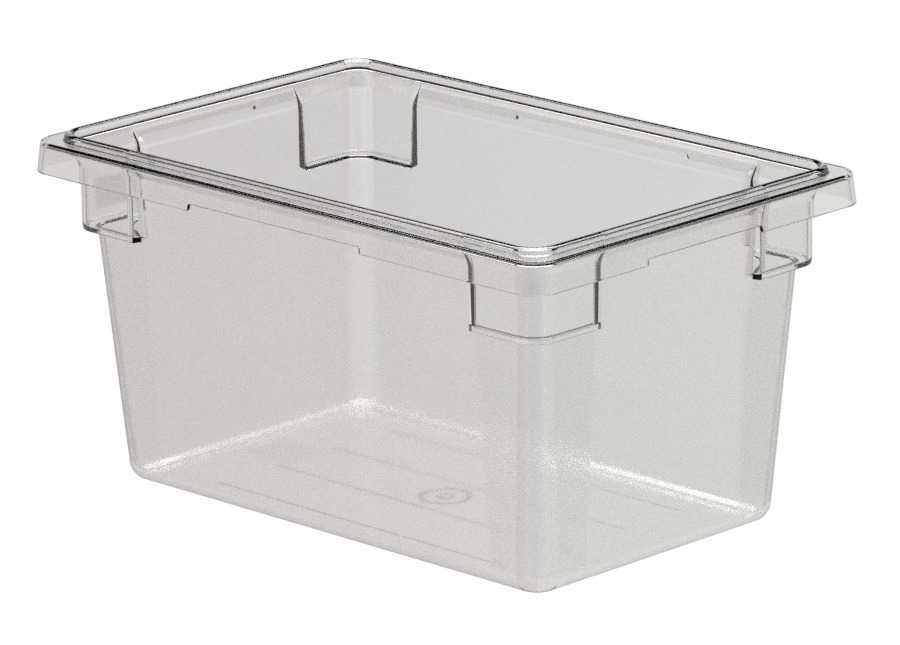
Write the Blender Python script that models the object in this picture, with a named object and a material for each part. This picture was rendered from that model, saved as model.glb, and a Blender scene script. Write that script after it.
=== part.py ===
"""Deli food pan: a clear one-piece moulded food storage box, 18 x 12 in class.

The moulding is modelled as named features that meet with a hairline gap: the floor, four
tapered walls, four corner posts, four stepped corner lugs, and the rim made of a flange,
a hanging skirt and a raised lip.

Frame: X along the long side, Y along the short side, Z up, origin at the middle of the base.
Sections are written as (inset, height) pairs. An inset is measured inwards from the widest
outline, which is the bottom edge of the skirt. Lengths are in millimetres until a mesh is made.
"""

import math

import bmesh
import bpy

MM = 0.001

# Driving dimensions
LENGTH = 457.2
WIDTH = 302.0
HEIGHT = 234.5
SHELL = 2.8
GAP = 0.2

# Floor and its underside beads
FLOOR_BOTTOM = 0.5
BEAD_Y = (-77.5, -26.0, 26.0, 77.5)
BEAD_HALF_LENGTH = 130.0
BEAD_WIDTH = 2.4

# Walls: the outer face leans out towards the top, then flares into the rim
WALL_INSET_AT_BASE = 38.75
WALL_DRAFT = 0.065
FOOT_RADIUS = 13.2
CORNER_RADIUS_BASE = 20.0
CORNER_RADIUS_TOP = 16.0
CORNER_RADIUS_TOP_HEIGHT = 165.0
FLARE_START = 212.0
FLARE_TOP_INSET = 16.7

# Corner lugs: boxes stepped out from the walls, each open upwards
LUG_INSET = 20.5
LUG_RADIUS = 16.0
LUG_REACH = 78.2
LUG_END = 4.2
LUG_BOTTOM = 170.0
LUG_FLARE_TOP_INSET = 16.4

# Rim
FLANGE_TOP = 229.8
FLANGE_BOTTOM = FLANGE_TOP - SHELL
FLANGE_EDGE_INSET = 1.6
FLANGE_EDGE_RADIUS = 2.6
SKIRT_BOTTOM = 209.4
SKIRT_NOTCH_BOTTOM = 213.9
SKIRT_NOTCH_HALF_X = 76.5
SKIRT_NOTCH_HALF_Y = 51.5
SKIRT_THICKNESS = 2.6
SKIRT_RADIUS = 18.5
LIP_OUTER_INSET = 12.1
LIP_INNER_INSET = 18.9
LIP_RADIUS = 20.0
LIP_SEAT_STEP = 0.1

ARC_STEPS = 10
FOOT_STEPS = 7
FLARE_STEPS = 7

CLEAR_PANEL = ("clear_panel", (0.86, 0.86, 0.85), 0.18)
CLEAR_CORNER = ("clear_corner", (0.82, 0.82, 0.81), 0.12)
CLEAR_RIM = ("clear_rim", (0.88, 0.88, 0.88), 0.06)


def clear_scene():
    for obj in list(bpy.data.objects):
        bpy.data.objects.remove(obj)


def material(name, look):
    """A Principled material for one node, from a (family, colour, roughness) look."""
    family, colour, roughness = look
    mat = bpy.data.materials.new(name + "_" + family)
    mat.use_nodes = True
    shader = mat.node_tree.nodes["Principled BSDF"]
    shader.inputs["Base Color"].default_value = (*colour, 1.0)
    shader.inputs["Roughness"].default_value = roughness
    shader.inputs["IOR"].default_value = 1.58
    shader.inputs["Transmission Weight"].default_value = 0.9
    mat.diffuse_color = (*colour, 1.0)
    return mat


def make_object(name, verts, faces, look, smooth_angle=35.0):
    """One named closed solid from vertices in millimetres and faces."""
    bm = bmesh.new()
    bm_verts = [bm.verts.new((x * MM, y * MM, z * MM)) for x, y, z in verts]
    for face in faces:
        bm.faces.new([bm_verts[index] for index in face])
    bmesh.ops.recalc_face_normals(bm, faces=bm.faces)
    for face in bm.faces:
        face.smooth = True
    for edge in bm.edges:
        if len(edge.link_faces) == 2:
            edge.smooth = edge.calc_face_angle() < math.radians(smooth_angle)
    mesh = bpy.data.meshes.new(name)
    bm.to_mesh(mesh)
    bm.free()
    obj = bpy.data.objects.new(name, mesh)
    bpy.context.scene.collection.objects.link(obj)
    mesh.materials.append(material(name, look))
    return obj


# ---------------------------------------------------------------- sections

def wall_inset(z):
    """Inset of the wall's outer face at height z, below the flare."""
    return WALL_INSET_AT_BASE - WALL_DRAFT * z


def corner_radius(z):
    """Plan radius of the wall's outer corner at height z."""
    share = min(z / CORNER_RADIUS_TOP_HEIGHT, 1.0)
    return CORNER_RADIUS_BASE + (CORNER_RADIUS_TOP - CORNER_RADIUS_BASE) * share


def s_curve(share):
    return 0.5 - 0.5 * math.cos(math.pi * share)


def foot_section(radius):
    """The rounded foot between floor and wall as (inset, z, plan radius), going up."""
    centre_z = FLOOR_BOTTOM + FOOT_RADIUS
    tangent = wall_inset(centre_z)
    rows = []
    for step in range(FOOT_STEPS + 1):
        angle = math.radians(90.0) * (1.0 - step / FOOT_STEPS)
        run = FOOT_RADIUS - radius * math.cos(angle)
        rise = radius * math.sin(angle)
        plan = corner_radius(centre_z) - run
        rows.append((tangent + run, centre_z - rise, max(plan, 1.0)))
    return rows


def wall_section(top, flare_inset=None):
    """Outer and inner rows (inset, z, plan radius) of a wall, from its foot up to top."""
    outer = foot_section(FOOT_RADIUS)
    inner = foot_section(FOOT_RADIUS - SHELL)
    for z in (60.0, 120.0, LUG_BOTTOM - GAP, FLARE_START):
        if z <= top:
            outer.append((wall_inset(z), z, corner_radius(z)))
            inner.append((wall_inset(z) + SHELL, z, corner_radius(z) - SHELL))
    if flare_inset is not None:
        start = wall_inset(FLARE_START)
        for step in range(1, FLARE_STEPS + 1):
            share = step / FLARE_STEPS
            z = FLARE_START + (top - FLARE_START) * share
            inset = start + (flare_inset - start) * s_curve(share)
            outer.append((inset, z, corner_radius(z)))
            inner.append((inset + SHELL, z, corner_radius(z) - SHELL))
    return outer, inner


# ---------------------------------------------------------------- solids

def straight_wall(name, along_x, side, half_span, look):
    """A wall between two corners: its section run straight along one side."""
    outer, inner = wall_section(FLANGE_BOTTOM - GAP, FLARE_TOP_INSET)
    half_depth = (WIDTH if along_x else LENGTH) / 2
    ring = outer + inner[::-1]
    verts = []
    for end in (-half_span, half_span):
        for inset, z, _ in ring:
            across = side * (half_depth - inset)
            verts.append((end, across, z) if along_x else (across, end, z))
    count = len(ring)
    faces = [tuple(range(count)), tuple(range(2 * count - 1, count - 1, -1))]
    for index in range(count):
        after = (index + 1) % count
        faces.append((index, after, count + after, count + index))
    return make_object(name, verts, faces, look)


def corner_path(inset, radius, reach_x, reach_y):
    """Plan points round the (+X, +Y) corner, from the X side's end to the Y side's end."""
    half_x = LENGTH / 2 - inset
    half_y = WIDTH / 2 - inset
    points = [(LENGTH / 2 - reach_x, half_y)]
    for step in range(ARC_STEPS + 1):
        angle = math.radians(90.0) * (1.0 - step / ARC_STEPS)
        points.append((half_x - radius + radius * math.cos(angle),
                       half_y - radius + radius * math.sin(angle)))
    points.append((half_x, WIDTH / 2 - reach_y))
    return points


def corner_post(name, sign_x, sign_y):
    """The rounded corner of the tub, from its foot to the underside of the lug."""
    outer, inner = wall_section(LUG_BOTTOM - GAP)
    ring = outer + inner[::-1]
    rows = [corner_path(inset, radius, LUG_REACH, LUG_REACH) for inset, _, radius in ring]
    count = len(ring)
    stations = len(rows[0])
    verts = []
    for station in range(stations):
        for row, (_, z, _) in zip(rows, ring):
            x, y = row[station]
            verts.append((sign_x * x, sign_y * y, z))
    last = (stations - 1) * count
    faces = [tuple(range(count)), tuple(range(last + count - 1, last - 1, -1))]
    for station in range(stations - 1):
        base = station * count
        for index in range(count):
            after = (index + 1) % count
            faces.append((base + index, base + after, base + count + after, base + count + index))
    return make_object(name, verts, faces, CLEAR_CORNER)


def lug_rows():
    """Heights of a lug with the outer inset of its skin and the inner inset of the wall."""
    rows = [(LUG_BOTTOM, LUG_INSET, wall_inset(LUG_BOTTOM) + SHELL),
            (LUG_BOTTOM + SHELL, LUG_INSET, wall_inset(LUG_BOTTOM + SHELL) + SHELL),
            (FLARE_START, LUG_INSET, wall_inset(FLARE_START) + SHELL)]
    start = wall_inset(FLARE_START)
    top = FLANGE_BOTTOM - GAP
    for step in range(1, FLARE_STEPS + 1):
        bend = s_curve(step / FLARE_STEPS)
        z = FLARE_START + (top - FLARE_START) * step / FLARE_STEPS
        skin = LUG_INSET + (LUG_FLARE_TOP_INSET - LUG_INSET) * bend
        wall = start + (FLARE_TOP_INSET - start) * bend + SHELL
        rows.append((z, skin, wall))
    return rows


def corner_lug(name, sign_x, sign_y):
    """A stepped-out corner box: an outer skin, two end walls and a ledge under it."""
    verts = []
    faces = []

    def add(points, z):
        start = len(verts)
        for x, y in points:
            verts.append((sign_x * x, sign_y * y, z))
        return list(range(start, start + len(points)))

    def path(skin, wall, reach):
        points = corner_path(skin, LUG_RADIUS - (skin - LUG_INSET), reach, reach)
        head = (LENGTH / 2 - reach, WIDTH / 2 - wall)
        tail = (LENGTH / 2 - wall, WIDTH / 2 - reach)
        return [head] + points + [tail]

    rows = lug_rows()
    outer = [add(path(skin, wall, LUG_REACH), z) for z, skin, wall in rows]
    inner = [add(path(skin + SHELL, wall, LUG_REACH - LUG_END), z) for z, skin, wall in rows[1:]]
    ledge = []
    for z, _, wall in rows[:2]:
        points = corner_path(wall, corner_radius(z) - SHELL, LUG_REACH - LUG_END, LUG_REACH - LUG_END)
        ledge.append(points)
    last = len(outer[0]) - 1

    # Skins, outside and inside
    for low, high in zip(outer, outer[1:]):
        for k in range(last):
            faces.append((low[k], low[k + 1], high[k + 1], high[k]))
    for low, high in zip(inner, inner[1:]):
        for k in range(last):
            faces.append((low[k + 1], low[k], high[k], high[k + 1]))
    # Top edge
    for k in range(last):
        faces.append((outer[-1][k], outer[-1][k + 1], inner[-1][k + 1], inner[-1][k]))
    # Ends of the end walls, above the ledge
    for k in (0, last):
        for level in range(len(inner) - 1):
            faces.append((outer[level + 1][k], outer[level + 2][k],
                          inner[level + 1][k], inner[level][k]))
    # Ledge: its inner edge follows the wall's inner face
    upper_arc = add(ledge[1][1:-1], rows[1][0])
    lower_arc = add(ledge[0][1:-1], rows[0][0])
    lower_head = add([ledge[0][0]], rows[0][0])[0]
    lower_tail = add([ledge[0][-1]], rows[0][0])[0]
    upper = inner[0]
    faces.append((upper[0], upper[1], upper[2], upper_arc[0]))
    faces.append((upper[last - 2], upper[last - 1], upper[last], upper_arc[-1]))
    for k in range(len(upper_arc) - 1):
        faces.append((upper[k + 2], upper[k + 3], upper_arc[k + 1], upper_arc[k]))
        faces.append((upper_arc[k], upper_arc[k + 1], lower_arc[k + 1], lower_arc[k]))
        faces.append((lower_arc[k], lower_arc[k + 1], outer[0][k + 3], outer[0][k + 2]))
    faces.append((upper[0], upper_arc[0], lower_arc[0], lower_head))
    faces.append((upper_arc[-1], upper[last], lower_tail, lower_arc[-1]))
    faces.append((outer[0][0], outer[0][1], outer[0][2], lower_arc[0], lower_head))
    faces.append((outer[0][last - 2], outer[0][last - 1], outer[0][last], lower_tail,
                  lower_arc[-1]))
    faces.append((outer[0][0], outer[1][0], upper[0], lower_head))
    faces.append((outer[0][last], lower_tail, upper[last], outer[1][last]))
    return make_object(name, verts, faces, CLEAR_CORNER)


def rounded_rectangle(inset, radius):
    """Plan points of a closed rounded rectangle, anticlockwise, starting on the +X side."""
    half_x = LENGTH / 2 - inset
    half_y = WIDTH / 2 - inset
    points = []
    for quarter, (sign_x, sign_y) in enumerate(((1, 1), (-1, 1), (-1, -1), (1, -1))):
        for step in range(ARC_STEPS + 1):
            angle = math.radians(90.0) * (quarter + step / ARC_STEPS)
            points.append((sign_x * (half_x - radius) + radius * math.cos(angle),
                           sign_y * (half_y - radius) + radius * math.sin(angle)))
    return points


def ring_solid(name, section, look):
    """A closed rim ring: a closed section of (inset, z, plan radius) round the whole pan."""
    loops = [rounded_rectangle(inset, radius) for inset, _, radius in section]
    size = len(loops[0])
    verts = [(x, y, z) for loop, (_, z, _) in zip(loops, section) for x, y in loop]
    faces = []
    for level in range(len(section)):
        after = (level + 1) % len(section)
        for index in range(size):
            beside = (index + 1) % size
            faces.append((level * size + index, level * size + beside,
                          after * size + beside, after * size + index))
    return make_object(name, verts, faces, look)


def block(name, centre, size):
    """A plain box used as a cutter or joined into another solid."""
    cx, cy, cz = centre
    dx, dy, dz = (value / 2 for value in size)
    verts = [(cx + sx * dx, cy + sy * dy, cz + sz * dz)
             for sx in (-1, 1) for sy in (-1, 1) for sz in (-1, 1)]
    faces = [(0, 1, 3, 2), (4, 6, 7, 5), (0, 4, 5, 1), (2, 3, 7, 6), (0, 2, 6, 4), (1, 5, 7, 3)]
    obj = make_object(name, verts, faces, CLEAR_PANEL)
    obj.hide_render = True
    obj.display_type = "WIRE"
    return obj


def boolean(target, tool, operation):
    modifier = target.modifiers.new(tool.name, "BOOLEAN")
    modifier.operation = operation
    modifier.solver = "EXACT"
    modifier.object = tool


# ---------------------------------------------------------------- assembly

def build_floor():
    """The flat floor inside the foot radius, with four beads under it."""
    inset = wall_inset(FLOOR_BOTTOM + FOOT_RADIUS) + FOOT_RADIUS + GAP
    radius = max(corner_radius(FLOOR_BOTTOM) - FOOT_RADIUS, 1.0)
    outline = rounded_rectangle(inset, radius)
    top = FLOOR_BOTTOM + SHELL
    count = len(outline)
    verts = [(x, y, FLOOR_BOTTOM) for x, y in outline] + [(x, y, top) for x, y in outline]
    faces = [tuple(range(count))[::-1], tuple(range(count, 2 * count))]
    for index in range(count):
        after = (index + 1) % count
        faces.append((index, after, count + after, count + index))
    floor = make_object("floor_panel", verts, faces, CLEAR_PANEL)
    bead_height = FLOOR_BOTTOM + SHELL / 2
    for number, y in enumerate(BEAD_Y):
        bead = block("bead_cutter_%d" % number, (0.0, y, bead_height / 2),
                     (2 * BEAD_HALF_LENGTH, BEAD_WIDTH, bead_height))
        boolean(floor, bead, "UNION")


def build_walls():
    half_x = LENGTH / 2 - LUG_REACH - GAP
    half_y = WIDTH / 2 - LUG_REACH - GAP
    straight_wall("wall_front", True, -1, half_x, CLEAR_PANEL)
    straight_wall("wall_back", True, 1, half_x, CLEAR_PANEL)
    straight_wall("wall_left", False, -1, half_y, CLEAR_PANEL)
    straight_wall("wall_right", False, 1, half_y, CLEAR_PANEL)


def build_corners():
    for depth, sign_y in (("front", -1), ("back", 1)):
        for side, sign_x in (("left", -1), ("right", 1)):
            corner_post("corner_post_%s_%s" % (depth, side), sign_x, sign_y)
            corner_lug("corner_lug_%s_%s" % (depth, side), sign_x, sign_y)


def build_flange():
    """The flange: a rounded outer edge, a flat shelf for a lid, and the seat of the lip."""
    edge = FLANGE_EDGE_RADIUS
    seat_radius = LIP_RADIUS - LIP_INNER_INSET + LIP_OUTER_INSET
    section = [(LIP_INNER_INSET, FLANGE_BOTTOM, seat_radius),
               (FLANGE_EDGE_INSET, FLANGE_BOTTOM, SKIRT_RADIUS)]
    for step in range(6):
        angle = math.radians(90.0) * step / 5
        run = edge * (1.0 - math.cos(angle))
        section.append((FLANGE_EDGE_INSET + run, FLANGE_TOP - edge + edge * math.sin(angle),
                        SKIRT_RADIUS - run))
    section.append((LIP_OUTER_INSET, FLANGE_TOP, LIP_RADIUS))
    section.append((LIP_OUTER_INSET + LIP_SEAT_STEP, FLANGE_TOP + LIP_SEAT_STEP,
                    LIP_RADIUS - LIP_SEAT_STEP))
    section.append((LIP_INNER_INSET, FLANGE_TOP + LIP_SEAT_STEP, seat_radius))
    ring_solid("rim_flange", section, CLEAR_RIM)


def build_skirt():
    """The skirt that hangs from the flange, raised along the middle of each side."""
    top = FLANGE_BOTTOM - GAP
    section = [(0.0, SKIRT_BOTTOM, SKIRT_RADIUS),
               (FLANGE_EDGE_INSET, top, SKIRT_RADIUS),
               (FLANGE_EDGE_INSET + SKIRT_THICKNESS, top, SKIRT_RADIUS - SKIRT_THICKNESS),
               (SKIRT_THICKNESS, SKIRT_BOTTOM, SKIRT_RADIUS - SKIRT_THICKNESS)]
    skirt = ring_solid("rim_skirt", section, CLEAR_RIM)
    cut_height = 2 * (SKIRT_NOTCH_BOTTOM - SKIRT_BOTTOM)
    long_cut = block("notch_cutter_long", (0.0, 0.0, SKIRT_BOTTOM),
                     (2 * SKIRT_NOTCH_HALF_X, WIDTH + 20.0, cut_height))
    short_cut = block("notch_cutter_short", (0.0, 0.0, SKIRT_BOTTOM),
                      (LENGTH + 20.0, 2 * SKIRT_NOTCH_HALF_Y, cut_height))
    boolean(skirt, long_cut, "DIFFERENCE")
    boolean(skirt, short_cut, "DIFFERENCE")


def build_lip():
    """The raised lip that runs round the top of the flange, rounded over its crest."""
    half = (LIP_INNER_INSET - LIP_OUTER_INSET) / 2
    centre_inset = LIP_OUTER_INSET + half
    centre_z = HEIGHT - half
    base_z = FLANGE_TOP + LIP_SEAT_STEP + GAP
    section = [(LIP_INNER_INSET, base_z, LIP_RADIUS - 2 * half),
               (LIP_OUTER_INSET, base_z, LIP_RADIUS)]
    for step in range(9):
        angle = math.radians(180.0) * step / 8
        run = half - half * math.cos(angle)
        section.append((LIP_OUTER_INSET + run, centre_z + half * math.sin(angle),
                        LIP_RADIUS - run))
    ring_solid("rim_lip", section, CLEAR_RIM)


def main():
    clear_scene()
    build_floor()
    build_walls()
    build_corners()
    build_flange()
    build_skirt()
    build_lip()


main()
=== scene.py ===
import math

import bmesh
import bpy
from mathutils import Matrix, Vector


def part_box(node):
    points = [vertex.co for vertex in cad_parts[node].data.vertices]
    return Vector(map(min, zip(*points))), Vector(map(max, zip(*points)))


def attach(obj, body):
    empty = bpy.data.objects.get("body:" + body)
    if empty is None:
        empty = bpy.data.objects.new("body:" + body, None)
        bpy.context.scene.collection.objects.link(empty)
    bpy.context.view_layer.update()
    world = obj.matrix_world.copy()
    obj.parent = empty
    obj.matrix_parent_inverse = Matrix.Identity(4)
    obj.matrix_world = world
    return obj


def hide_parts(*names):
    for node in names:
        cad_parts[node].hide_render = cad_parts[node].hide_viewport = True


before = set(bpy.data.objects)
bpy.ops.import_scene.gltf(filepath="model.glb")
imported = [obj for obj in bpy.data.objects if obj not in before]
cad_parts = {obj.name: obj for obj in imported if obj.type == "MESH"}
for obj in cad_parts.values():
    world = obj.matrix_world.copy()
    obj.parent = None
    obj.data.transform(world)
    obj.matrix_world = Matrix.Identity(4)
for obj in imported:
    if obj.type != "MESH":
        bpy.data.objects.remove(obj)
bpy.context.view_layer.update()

# Deli food pan: the clear moulding, its material, a white sweep and the camera.
#
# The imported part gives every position. This script draws the same moulding again as one
# continuous skin with rounded edges, because clear plastic shows every seam inside it.
# Lengths are in metres. An inset is measured inwards from the widest outline, the skirt's.

MM = 0.001
RIGHT_ANGLE = math.pi / 2

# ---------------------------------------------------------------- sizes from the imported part

skirt_low, skirt_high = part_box("rim_skirt")
lip_low, lip_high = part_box("rim_lip")
flange_low, flange_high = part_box("rim_flange")
lug_low, lug_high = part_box("corner_lug_back_right")
wall_low, wall_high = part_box("wall_back")

HALF_X = skirt_high.x
HALF_Y = skirt_high.y
SKIRT_BOTTOM = skirt_low.z
CREST = lip_high.z
FLANGE_BOTTOM = flange_low.z
FLANGE_EDGE_INSET = HALF_X - flange_high.x
LIP_OUTER_INSET = HALF_X - lip_high.x
LUG_BOTTOM = lug_low.z
LUG_END_X = lug_low.x
LUG_END_Y = lug_low.y
FLARE_TOP_INSET = HALF_Y - wall_high.y
FLOOR_BOTTOM = wall_low.z

# Shape values that the boxes can't give
SHELL = 2.8 * MM
FLANGE_TOP = FLANGE_BOTTOM + SHELL
FOOT_RADIUS = 13.2 * MM
WALL_INSET_AT_BASE = 38.75 * MM
WALL_DRAFT = 0.065
CORNER_RADIUS_BASE = 20.0 * MM
CORNER_RADIUS_TOP = 16.0 * MM
CORNER_RADIUS_TOP_HEIGHT = 165.0 * MM
FLARE_START = 212.0 * MM
LUG_INSET = 20.5 * MM
LUG_RADIUS = 16.0 * MM
LUG_END_THICKNESS = 4.5 * MM
LUG_OPENING_FLARE = 5.5 * MM
SKIRT_RADIUS = 18.5 * MM
SKIRT_THICKNESS = 2.6 * MM
SKIRT_LEAN = FLANGE_EDGE_INSET / (FLANGE_BOTTOM - SKIRT_BOTTOM)
LIP_WIDTH = 6.8 * MM
LIP_RADIUS = 20.0 * MM
FLANGE_EDGE_RADIUS = 2.6 * MM
NOTCH_RISE = 4.5 * MM
NOTCH_HALF_X = 76.5 * MM
NOTCH_HALF_Y = 51.5 * MM
BEAD_Y = (-77.5 * MM, -26.0 * MM, 26.0 * MM, 77.5 * MM)
BEAD_HALF_LENGTH = 130.0 * MM
BEAD_WIDTH = 2.4 * MM
GATE_RADII = (17.2 * MM, 6.0 * MM)
# Bead section from the floor's face down: (step in from its edge, height above the table)
BEAD_STEPS = ((0.0, 0.5 * MM), (0.2 * MM, 0.2 * MM), (0.6 * MM, 0.02 * MM))
FLARE_END = 225.0 * MM
RIM_FILLET = 1.5 * MM
SKIRT_EDGE = 0.8 * MM
LIP_ROOT = 0.9 * MM
# Heights in mm of the plain rows of the tub, below the lugs and on them
WALL_LEVELS = (30, 70, 110, 150)
LUG_LEVELS = (180, 190, 200, 208)

ARC_STEPS = 16
FOOT_STEPS = 10
FLARE_STEPS = 8
SHARP_ANGLE = 50.0

# Camera, fitted to the rim, lugs and base
VIEW_AZIMUTH = 44.78
VIEW_ELEVATION = 16.195
VIEW_ROLL = -0.847
VIEW_DISTANCE = 4327.5 * MM
VIEW_TARGET = Vector((0.0, 0.0, 115.0 * MM))
VIEW_OFFSET = (3.76 * MM, 3.46 * MM)
VIEW_LENS = 269.84


# ---------------------------------------------------------------- stations round the outline

def ease(share):
    return 0.5 - 0.5 * math.cos(math.pi * share)


def rounded_step(near_radius, far_radius, depth, face=0.3 * MM):
    """Points over a step with rounded edges: (distance along, share of the depth)."""
    points = []
    for k in range(5):
        angle = RIGHT_ANGLE * k / 4
        points.append((near_radius * (math.sin(angle) - 1.0),
                       near_radius * (1.0 - math.cos(angle)) / depth))
    for k in range(7):
        angle = RIGHT_ANGLE * k / 6
        points.append((face + far_radius * (1.0 - math.cos(angle)),
                       1.0 - far_radius * (1.0 - math.sin(angle)) / depth))
    return points


LUG_DEPTH = WALL_INSET_AT_BASE - WALL_DRAFT * LUG_BOTTOM - LUG_INSET
END_STEP_OUTSIDE = rounded_step(0.8 * MM, 0.5 * MM, LUG_DEPTH)
END_STEP_INSIDE = rounded_step(2.4 * MM, 0.8 * MM, LUG_DEPTH)
NOTCH_STEP = rounded_step(1.2 * MM, 1.2 * MM, NOTCH_RISE)


class Station:
    """One column of the skin: a place on a straight side, or an angle round a corner.

    Places and lug shares come in pairs, for the tub's outer face and for its inner face.
    """

    def __init__(self, along_x=True, sign=1, along=(0.0, 0.0), lug=(0.0, 0.0), notch=0.0,
                 corner=None, angle=0.0):
        self.along_x = along_x
        self.sign = sign
        self.along = along
        self.lug = lug
        self.notch = notch
        self.corner = corner
        self.angle = angle

    def point(self, inset, radius, inside):
        """Plan position on an outline, on the outer face (0) or the inner face (1)."""
        if self.corner:
            sign_x, sign_y = self.corner
            return (sign_x * (HALF_X - inset - radius) + radius * math.cos(self.angle),
                    sign_y * (HALF_Y - inset - radius) + radius * math.sin(self.angle))
        along = self.along[inside]
        if self.along_x:
            return (along, self.sign * (HALF_Y - inset))
        return (self.sign * (HALF_X - inset), along)


def half_side(lug_end, notch_half):
    """((outer, inner) place, (outer, inner) lug share, notch share) out to the corner."""
    places = [(notch_half * share, 1.0) for share in (0.15, 0.5, 0.8)]
    places += [(notch_half + offset, 1.0 - share) for offset, share in NOTCH_STEP]
    gap = lug_end - notch_half
    places += [(notch_half + gap * share, 0.0) for share in (0.3, 0.7)]
    columns = [((place, place), (0.0, 0.0), notch) for place, notch in places]
    for outside, inside in zip(END_STEP_OUTSIDE, END_STEP_INSIDE):
        flare = LUG_OPENING_FLARE * (1.0 - inside[1])
        place = (lug_end + outside[0], lug_end + LUG_END_THICKNESS + inside[0] - flare)
        columns.append((place, (outside[1], inside[1]), 0.0))
    beyond = lug_end + LUG_END_THICKNESS + 5.0 * MM
    columns.append(((beyond, beyond), (1.0, 1.0), 0.0))
    return columns


def outline_stations():
    """All columns, anticlockwise from the middle of the +X side."""
    columns_x = half_side(LUG_END_X, NOTCH_HALF_X)
    columns_y = half_side(LUG_END_Y, NOTCH_HALF_Y)
    corners = ((1, 1), (-1, 1), (-1, -1), (1, -1))
    sides = ((False, 1, columns_y, 1), (True, 1, columns_x, -1),
             (False, -1, columns_y, -1), (True, -1, columns_x, 1))
    stations = []
    for quarter, (along_x, sign, columns, way) in enumerate(sides):
        for half_way, half in ((-way, columns[::-1]), (way, columns)):
            for place, lug, notch in half:
                along = (half_way * place[0], half_way * place[1])
                stations.append(Station(along_x, sign, along, lug, notch))
        for k in range(ARC_STEPS + 1):
            angle = RIGHT_ANGLE * (quarter + k / ARC_STEPS)
            stations.append(Station(lug=(1.0, 1.0), corner=corners[quarter], angle=angle))
    return stations


# ---------------------------------------------------------------- rows up and over the section

class Row:
    """One level of the skin. A row has an outline for the walls and one for the lugs."""

    def __init__(self, inset, z, radius, lug_inset=None, lug_radius=None, inside=0, lift=0.0):
        self.inset = inset
        self.z = z
        self.radius = radius
        self.lug_inset = inset if lug_inset is None else lug_inset
        self.lug_radius = radius if lug_radius is None else lug_radius
        self.inside = inside
        self.lift = lift

    def point(self, station):
        share = station.lug[self.inside]
        inset = self.inset + (self.lug_inset - self.inset) * share
        radius = self.radius + (self.lug_radius - self.radius) * share
        rise = self.lift * NOTCH_RISE * station.notch
        x, y = station.point(inset + rise * SKIRT_LEAN, radius, self.inside)
        return Vector((x, y, self.z + rise))


def wall_inset(z):
    return WALL_INSET_AT_BASE - WALL_DRAFT * z


def corner_radius(z):
    share = min(z / CORNER_RADIUS_TOP_HEIGHT, 1.0)
    return CORNER_RADIUS_BASE + (CORNER_RADIUS_TOP - CORNER_RADIUS_BASE) * share


def foot_rows(radius, inside):
    """The rounded foot, from the floor up to the wall."""
    centre_z = FLOOR_BOTTOM + FOOT_RADIUS
    rows = []
    for k in range(FOOT_STEPS + 1):
        angle = RIGHT_ANGLE * (1.0 - k / FOOT_STEPS)
        run = FOOT_RADIUS - radius * math.cos(angle)
        rows.append(Row(wall_inset(centre_z) + run, centre_z - radius * math.sin(angle),
                        corner_radius(centre_z) - run, inside=inside))
    return rows


def body_row(z, depth, share, inside):
    """A row on the tub at height z, depth inside its outer face, lug drawn out by share."""
    inset = wall_inset(min(z, FLARE_START))
    lug = LUG_INSET
    if z > FLARE_START:
        bend = ease(min((z - FLARE_START) / (FLANGE_BOTTOM - FLARE_START), 1.0))
        inset += (FLARE_TOP_INSET - inset) * bend
        lug += (FLARE_TOP_INSET - lug) * bend
    radius = corner_radius(z)
    return Row(inset + depth, z, radius - depth, inset + (lug - inset) * share + depth,
               radius + (LUG_RADIUS - radius) * share - depth, inside)


def body_rows(depth, ledge_z, inside):
    """The tub's side from above its foot to the top of the flare."""
    rows = [body_row(z * MM, depth, 0.0, inside) for z in WALL_LEVELS]
    for offset, share in rounded_step(0.8 * MM, 1.5 * MM, LUG_DEPTH):
        rows.append(body_row(ledge_z + offset, depth, share, inside))
    rows += [body_row(z * MM, depth, 1.0, inside) for z in LUG_LEVELS]
    for k in range(FLARE_STEPS + 1):
        z = FLARE_START + (FLARE_END - FLARE_START) * k / FLARE_STEPS
        rows.append(body_row(z, depth, 1.0, inside))
    return rows


def arc(centre_inset, centre_z, radius, start, end, steps, plan_radius, lift=0.0):
    """Rows on an arc of the section. Angle 0 points outwards and 90 points up."""
    rows = []
    for k in range(steps + 1):
        angle = math.radians(start + (end - start) * k / steps)
        inset = centre_inset - radius * math.cos(angle)
        rows.append(Row(inset, centre_z + radius * math.sin(angle),
                        plan_radius - (inset - centre_inset), lift=lift))
    return rows


def rim_rows():
    """From the flare's top outside, under the flange, round the skirt and over the lip."""
    fillet = RIM_FILLET
    top_inset = FLARE_TOP_INSET
    skirt_top_inset = FLANGE_EDGE_INSET + SKIRT_THICKNESS
    rows = arc(top_inset - fillet, FLANGE_BOTTOM - fillet, fillet, 180, 90, 4,
               corner_radius(CREST) + fillet)
    rows += arc(skirt_top_inset + fillet, FLANGE_BOTTOM - fillet, fillet, 90, 0, 4,
                SKIRT_RADIUS - SKIRT_THICKNESS - fillet)
    edge = SKIRT_EDGE
    rows += arc(SKIRT_THICKNESS - edge, SKIRT_BOTTOM + edge, edge, 180, 270, 3,
                SKIRT_RADIUS - SKIRT_THICKNESS + edge, 1.0)
    rows += arc(edge, SKIRT_BOTTOM + edge, edge, 270, 360, 3, SKIRT_RADIUS - edge, 1.0)
    bend = FLANGE_EDGE_RADIUS
    rows += arc(FLANGE_EDGE_INSET + bend, FLANGE_TOP - bend, bend, 0, 90, 7, SKIRT_RADIUS - bend)
    root = LIP_ROOT
    rows += arc(LIP_OUTER_INSET - root, FLANGE_TOP + root, root, 270, 180, 4,
                LIP_RADIUS + root)
    half = LIP_WIDTH / 2
    rows += arc(LIP_OUTER_INSET + half, CREST - half, half, 0, 180, 14, LIP_RADIUS - half)
    return rows


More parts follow.
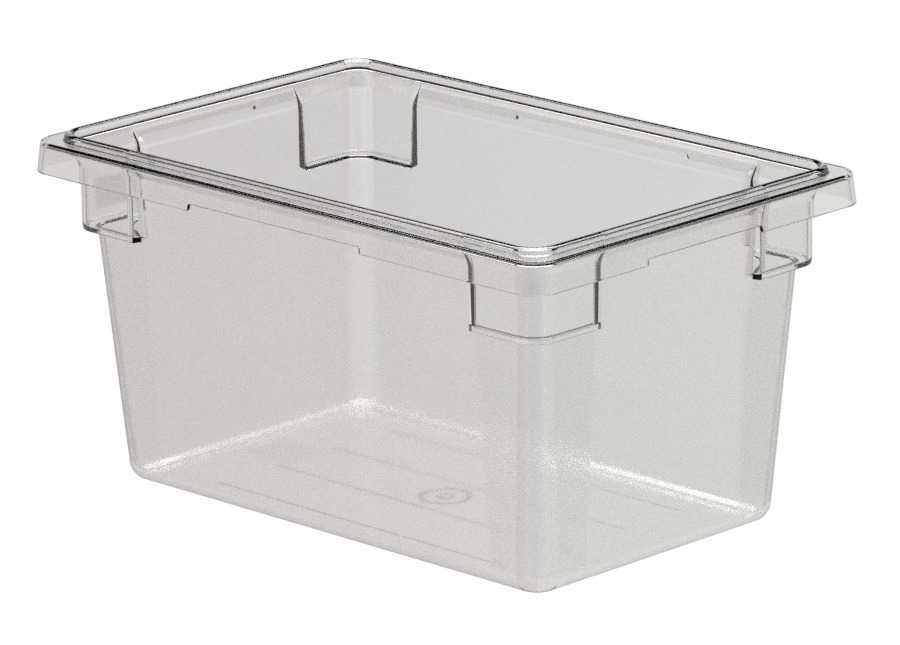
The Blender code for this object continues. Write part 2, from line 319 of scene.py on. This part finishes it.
def section_rows():
    outer = foot_rows(FOOT_RADIUS, 0) + body_rows(0.0, LUG_BOTTOM, 0)
    inner = foot_rows(FOOT_RADIUS - SHELL, 1) + body_rows(SHELL, LUG_BOTTOM + SHELL, 1)
    return outer + rim_rows() + inner[::-1]


# ---------------------------------------------------------------- the floor's underside marks

def slot_loop(centre_y, half_length, half_width, z, steps=6):
    """A loop round a long bead with round ends."""
    points = []
    for end in (1, -1):
        for k in range(2 * steps + 1):
            angle = math.pi * (k / (2 * steps) - 0.5) + (0.0 if end > 0 else math.pi)
            points.append(Vector((end * (half_length - half_width) + half_width * math.cos(angle),
                                  centre_y + half_width * math.sin(angle), z)))
    return points


def circle_loop(radius, z, steps=48):
    return [Vector((radius * math.cos(2 * math.pi * k / steps),
                    radius * math.sin(2 * math.pi * k / steps), z)) for k in range(steps)]


def floor_marks():
    """Stacks of loops from the floor's face, and whether the last loop is capped."""
    marks = []
    for y in BEAD_Y:
        half = BEAD_WIDTH / 2
        marks.append(([slot_loop(y, BEAD_HALF_LENGTH - step, half - step, z)
                       for step, z in BEAD_STEPS], True))
    for radius in GATE_RADII:
        crown = [(radius - step, z) for step, z in BEAD_STEPS]
        crown += [(radius - BEAD_WIDTH + step, z) for step, z in reversed(BEAD_STEPS)]
        marks.append(([circle_loop(size, z) for size, z in crown], False))
    return marks


# ---------------------------------------------------------------- the skin

def add_loop(bm, points):
    return [bm.verts.new(point) for point in points]


def bridge(bm, low, high):
    count = len(low)
    for k in range(count):
        after = (k + 1) % count
        bm.faces.new((low[k], low[after], high[after], high[k]))


def loop_edges(bm, loop):
    edges = []
    for k in range(len(loop)):
        pair = (loop[k], loop[(k + 1) % len(loop)])
        edges.append(bm.edges.get(pair) or bm.edges.new(pair))
    return edges


def build_pan():
    """The whole moulding as one closed skin."""
    stations = outline_stations()
    bm = bmesh.new()
    loops = [add_loop(bm, [row.point(station) for station in stations])
             for row in section_rows()]
    for low, high in zip(loops, loops[1:]):
        bridge(bm, low, high)
    bm.faces.new(loops[-1][::-1])
    rims = loop_edges(bm, loops[0])
    for stack, capped in floor_marks():
        rings = [add_loop(bm, points) for points in stack]
        for low, high in zip(rings, rings[1:]):
            bridge(bm, low, high)
        rims += loop_edges(bm, rings[0])
        if capped:
            bm.faces.new(rings[-1])
        else:
            rims += loop_edges(bm, rings[-1])
    bmesh.ops.triangle_fill(bm, use_beauty=True, use_dissolve=False, edges=rims)
    bmesh.ops.recalc_face_normals(bm, faces=bm.faces)
    for face in bm.faces:
        face.smooth = True
    mesh = bpy.data.meshes.new("pan_moulding")
    bm.to_mesh(mesh)
    open_edges = sum(not edge.is_manifold for edge in bm.edges)
    bm.free()
    print("pan_moulding faces", len(mesh.polygons), "open edges", open_edges)
    mesh.set_sharp_from_angle(angle=math.radians(SHARP_ANGLE))
    pan = bpy.data.objects.new("pan_moulding", mesh)
    bpy.context.scene.collection.objects.link(pan)
    weighted = pan.modifiers.new("flat_faces_rule", "WEIGHTED_NORMAL")
    weighted.mode = "FACE_AREA"
    weighted.weight = 50
    weighted.keep_sharp = True
    return pan


# ---------------------------------------------------------------- materials

def new_material(name):
    mat = bpy.data.materials.new(name)
    mat.use_nodes = True
    return mat, mat.node_tree.nodes, mat.node_tree.links, mat.node_tree.nodes["Principled BSDF"]


# Frosted areas: centre, half size, edge softness, added roughness, tint. The floor patch's tint
# above one is painted light, a brightening in place of the light its frosting scatters.
FROSTED_AND_PAINTED_LIGHT = (
    ((-144.5 * MM, -3.0 * MM, 2.0 * MM), (21.0 * MM, 18.5 * MM, 3.0 * MM), 0.6 * MM, 0.05, 1.025),
    ((-206.5 * MM, -95.0 * MM, 190.0 * MM), (3.0 * MM, 14.5 * MM, 10.5 * MM), 0.6 * MM, 0.20,
     0.84),
)
# Corner arcs of the lugs and the skirt, tinted a little deeper: painted shade for the darker
# bands seen through their curved corners. |x|, |y|, z from and to, tint
CORNER_ARCS_PAINTED_SHADE = ((199.0 * MM, 121.3 * MM, 170.0 * MM, 209.0 * MM, 0.955),
               (214.5 * MM, 137.0 * MM, 209.0 * MM, 229.0 * MM, 0.94))
# Corner posts, rougher, with a slightly darker tint that is painted shade for the darker curved
# corners: |x|, |y|, z from and to
POST_ZONE = (148.7 * MM, 69.6 * MM, 14.0 * MM, 168.0 * MM)
POST_ROUGHNESS = 0.09
POST_PAINTED_SHADE = 0.99
PLASTIC_IOR = 1.585
TINT = (1.0, 0.998, 0.995)
GRAIN_SCALE = 1100.0
CLOUD_SCALE = 35.0
ROUGHNESS_RANGE = (0.03, 0.09)
GRAIN_TINT_RANGE = (0.965, 1.0)
CLOUD_TINT_RANGE = (0.99, 1.0)


def clear_plastic():
    """Clear plastic with a fine grain, softer corner posts and two frosted patches. The corner
    posts and the corner arcs of lugs and skirt get a darker tint that is painted shade, and the
    floor patch gets a lighter tint that is painted light.
    """
    mat, nodes, links, shader = new_material("clear_polycarbonate")
    shader.inputs["IOR"].default_value = PLASTIC_IOR
    shader.inputs["Transmission Weight"].default_value = 1.0

    def math_node(operation, first, second=None):
        node = nodes.new("ShaderNodeMath")
        node.operation = operation
        for socket, value in zip(node.inputs, (first, second)):
            if value is None:
                continue
            if isinstance(value, (int, float)):
                socket.default_value = value
            else:
                links.new(value, socket)
        return node.outputs["Value"]

    def remap(value, low, high, to_low=0.0, to_high=1.0):
        node = nodes.new("ShaderNodeMapRange")
        node.inputs["From Min"].default_value = low
        node.inputs["From Max"].default_value = high
        node.inputs["To Min"].default_value = to_low
        node.inputs["To Max"].default_value = to_high
        links.new(value, node.inputs["Value"])
        return node.outputs["Result"]

    def noise(scale, detail):
        node = nodes.new("ShaderNodeTexNoise")
        node.inputs["Scale"].default_value = scale
        node.inputs["Detail"].default_value = detail
        links.new(coords.outputs["Object"], node.inputs["Vector"])
        return node.outputs["Fac"]

    coords = nodes.new("ShaderNodeTexCoord")
    split = nodes.new("ShaderNodeSeparateXYZ")
    links.new(coords.outputs["Object"], split.inputs[0])
    axes = [split.outputs[name] for name in "XYZ"]

    grain = noise(GRAIN_SCALE, 1.0)
    cloud = noise(CLOUD_SCALE, 3.0)
    roughness = remap(grain, 0.3, 0.7, *ROUGHNESS_RANGE)
    tint = remap(grain, 0.3, 0.7, *GRAIN_TINT_RANGE)
    tint = math_node("MULTIPLY", tint, remap(cloud, 0.3, 0.7, *CLOUD_TINT_RANGE))

    from_middle = [math_node("ABSOLUTE", axis) for axis in axes[:2]]

    def corner_mask(x, y, soft, low, high):
        mask = math_node("MULTIPLY", remap(from_middle[0], x, x + soft),
                         remap(from_middle[1], y, y + soft))
        band = math_node("MULTIPLY", remap(axes[2], low - 1.0 * MM, low),
                         remap(axes[2], high + 1.0 * MM, high))
        return math_node("MULTIPLY", mask, band)

    # Corner posts: real added roughness, and a slightly darker tint that is painted shade
    zones = [(corner_mask(POST_ZONE[0], POST_ZONE[1], 0.6 * MM, POST_ZONE[2], POST_ZONE[3]),
              POST_ROUGHNESS, POST_PAINTED_SHADE)]
    # Corner arcs of the lugs and the skirt: a deeper tint that is painted shade
    for x, y, low, high, shade in CORNER_ARCS_PAINTED_SHADE:
        zones.append((corner_mask(x, y, 2.0 * MM, low, high), 0.0, shade))
    # Frosted patches: real added roughness; the floor patch's tint above one is painted light
    for centre, half_size, soft, added, shade in FROSTED_AND_PAINTED_LIGHT:
        mask = None
        for axis, middle, half in zip(axes, centre, half_size):
            away = math_node("ABSOLUTE", math_node("SUBTRACT", axis, middle))
            near = remap(away, half + soft, half)
            mask = near if mask is None else math_node("MULTIPLY", mask, near)
        zones.append((mask, added, shade))
    for mask, added, shade in zones:
        roughness = math_node("ADD", roughness, math_node("MULTIPLY", mask, added))
        tint = math_node("MULTIPLY", tint, remap(mask, 0.0, 1.0, 1.0, shade))

    colour = nodes.new("ShaderNodeVectorMath")
    colour.operation = "SCALE"
    colour.inputs[0].default_value = TINT
    links.new(tint, colour.inputs["Scale"])
    links.new(colour.outputs["Vector"], shader.inputs["Base Color"])
    links.new(roughness, shader.inputs["Roughness"])
    return mat


# ---------------------------------------------------------------- stage, light and camera

# Colours of the surroundings. Rays through the plastic see the sweep and the dark sides;
# rays mirrored off it see the panels, the dark camera side and the brighter softbox.
WHITE = (0.99, 0.99, 0.99)
SWEEP_LEFT = (0.695, 0.676, 0.668)
SWEEP_RIGHT = (0.775, 0.770, 0.755)
DARK_SIDE = (0.008, 0.008, 0.01)
WARM_EDGE = (0.30, 0.17, 0.09)
DARK_CEILING = (0.015, 0.02, 0.03)
SOFTBOX = (2.2, 2.2, 2.2)
SOFTBOX_MIRRORED = (5.0, 5.0, 5.0)
LEFT_PANEL = (1.20, 1.12, 1.02)
RIGHT_PANEL = (1.15, 1.12, 1.02)
BACK_PANEL = (0.80, 0.80, 0.80)
CAMERA_SIDE = (0.10, 0.10, 0.10)
# Where each one fades in: the sine of the angle towards it, from and to
SWEEP_FADE = (-0.06, 0.06)
SIDE_FADE = (0.70, 0.85)
CAMERA_SIDE_FADE = (0.70, 0.90)
BACK_PANEL_FADE = (0.16, 0.22)
WARM_FADE = (0.38, 0.44)
CEILING_FADE = (0.44, 0.48)
SOFTBOX_FADE = (0.70, 0.73)
FLOOR_HALF = 6.0
FLOOR_DROP = 0.2 * MM


def build_floor():
    """A plain pale floor that only the camera sees, so it takes no shadow or reflection."""
    mesh = bpy.data.meshes.new("floor")
    half = FLOOR_HALF
    mesh.from_pydata([(-half, -half, 0), (half, -half, 0), (half, half, 0), (-half, half, 0)],
                     [], [(0, 1, 2, 3)])
    floor = bpy.data.objects.new("floor", mesh)
    bpy.context.scene.collection.objects.link(floor)
    floor.location.z = -FLOOR_DROP
    mat, _, _, shader = new_material("pale_floor")
    shader.inputs["Base Color"].default_value = (0.0, 0.0, 0.0, 1.0)
    shader.inputs["Specular IOR Level"].default_value = 0.0
    shader.inputs["Emission Color"].default_value = (*WHITE, 1.0)
    shader.inputs["Emission Strength"].default_value = 1.0
    mesh.materials.append(mat)
    floor.visible_diffuse = False
    floor.visible_glossy = False
    floor.visible_transmission = False
    floor.visible_volume_scatter = False
    floor.visible_shadow = False


def build_world():
    """Surroundings fixed to the main view's direction: sweep, sides, ceiling and softbox."""
    world = bpy.data.worlds.new("studio")
    bpy.context.scene.world = world
    world.use_nodes = True
    nodes = world.node_tree.nodes
    links = world.node_tree.links
    coords = nodes.new("ShaderNodeTexCoord")

    def along(direction):
        dot = nodes.new("ShaderNodeVectorMath")
        dot.operation = "DOT_PRODUCT"
        dot.inputs[1].default_value = direction
        links.new(coords.outputs["Generated"], dot.inputs[0])
        return dot.outputs["Value"]

    def fade(value, start, end):
        ramp = nodes.new("ShaderNodeMapRange")
        ramp.interpolation_type = "SMOOTHSTEP"
        ramp.inputs["From Min"].default_value = start
        ramp.inputs["From Max"].default_value = end
        links.new(value, ramp.inputs["Value"])
        return ramp.outputs["Result"]

    def blend(under, over, share):
        mix = nodes.new("ShaderNodeMix")
        mix.data_type = "RGBA"
        for name, colour in (("A", under), ("B", over)):
            if isinstance(colour, tuple):
                mix.inputs[name].default_value = (*colour, 1.0)
            else:
                links.new(colour, mix.inputs[name])
        links.new(share, mix.inputs["Factor"])
        return mix.outputs["Result"]

    azimuth = math.radians(VIEW_AZIMUTH)
    right = (math.cos(azimuth), math.sin(azimuth), 0.0)
    left = (-right[0], -right[1], 0.0)
    near = (right[1], -right[0], 0.0)
    up = (0.0, 0.0, 1.0)
    height = along(up)
    sweep = blend(SWEEP_LEFT, SWEEP_RIGHT, fade(along(right), *SWEEP_FADE))
    colour = blend(sweep, DARK_SIDE, fade(along(right), *SIDE_FADE))
    colour = blend(colour, DARK_SIDE, fade(along(left), *SIDE_FADE))
    mirrored = blend(sweep, RIGHT_PANEL, fade(along(right), *SIDE_FADE))
    mirrored = blend(mirrored, LEFT_PANEL, fade(along(left), *SIDE_FADE))
    mirrored = blend(mirrored, CAMERA_SIDE, fade(along(near), *CAMERA_SIDE_FADE))
    mirrored = blend(mirrored, BACK_PANEL, fade(height, *BACK_PANEL_FADE))
    path = nodes.new("ShaderNodeLightPath")
    colour = blend(colour, mirrored, path.outputs["Is Reflection Ray"])
    colour = blend(colour, WARM_EDGE, fade(height, *WARM_FADE))
    colour = blend(colour, DARK_CEILING, fade(height, *CEILING_FADE))
    softbox = blend(SOFTBOX, SOFTBOX_MIRRORED, path.outputs["Is Reflection Ray"])
    colour = blend(colour, softbox, fade(height, *SOFTBOX_FADE))
    colour = blend(colour, WHITE, path.outputs["Is Camera Ray"])
    links.new(colour, nodes["Background"].inputs["Color"])


def build_camera():
    """The viewpoint: a long lens, front right, a little above the rim."""
    azimuth = math.radians(VIEW_AZIMUTH)
    elevation = math.radians(VIEW_ELEVATION)
    back = Vector((math.sin(azimuth) * math.cos(elevation),
                   -math.cos(azimuth) * math.cos(elevation), math.sin(elevation)))
    right = Vector((math.cos(azimuth), math.sin(azimuth), 0.0))
    turn = Matrix.Rotation(math.radians(VIEW_ROLL), 3, back)
    right = turn @ right
    up = back.cross(right)
    data = bpy.data.cameras.new("camera")
    data.lens = VIEW_LENS
    data.sensor_width = 36.0
    data.clip_start = 0.1
    data.clip_end = 60.0
    camera = bpy.data.objects.new("camera", data)
    bpy.context.scene.collection.objects.link(camera)
    axes = Matrix((right, up, back)).transposed()
    place = VIEW_TARGET + back * VIEW_DISTANCE + right * VIEW_OFFSET[0] + up * VIEW_OFFSET[1]
    camera.matrix_world = Matrix.Translation(place) @ axes.to_4x4()
    bpy.context.scene.camera = camera


# ---------------------------------------------------------------- assembly

pan = build_pan()
pan.data.materials.append(clear_plastic())
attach(pan, "root")
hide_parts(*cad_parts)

build_floor()
build_world()
build_camera()
scene = bpy.context.scene
scene.view_settings.view_transform = "Standard"
scene.cycles.use_denoising = False
scene.cycles.max_bounces = 32
scene.cycles.transmission_bounces = 32
scene.cycles.glossy_bounces = 2
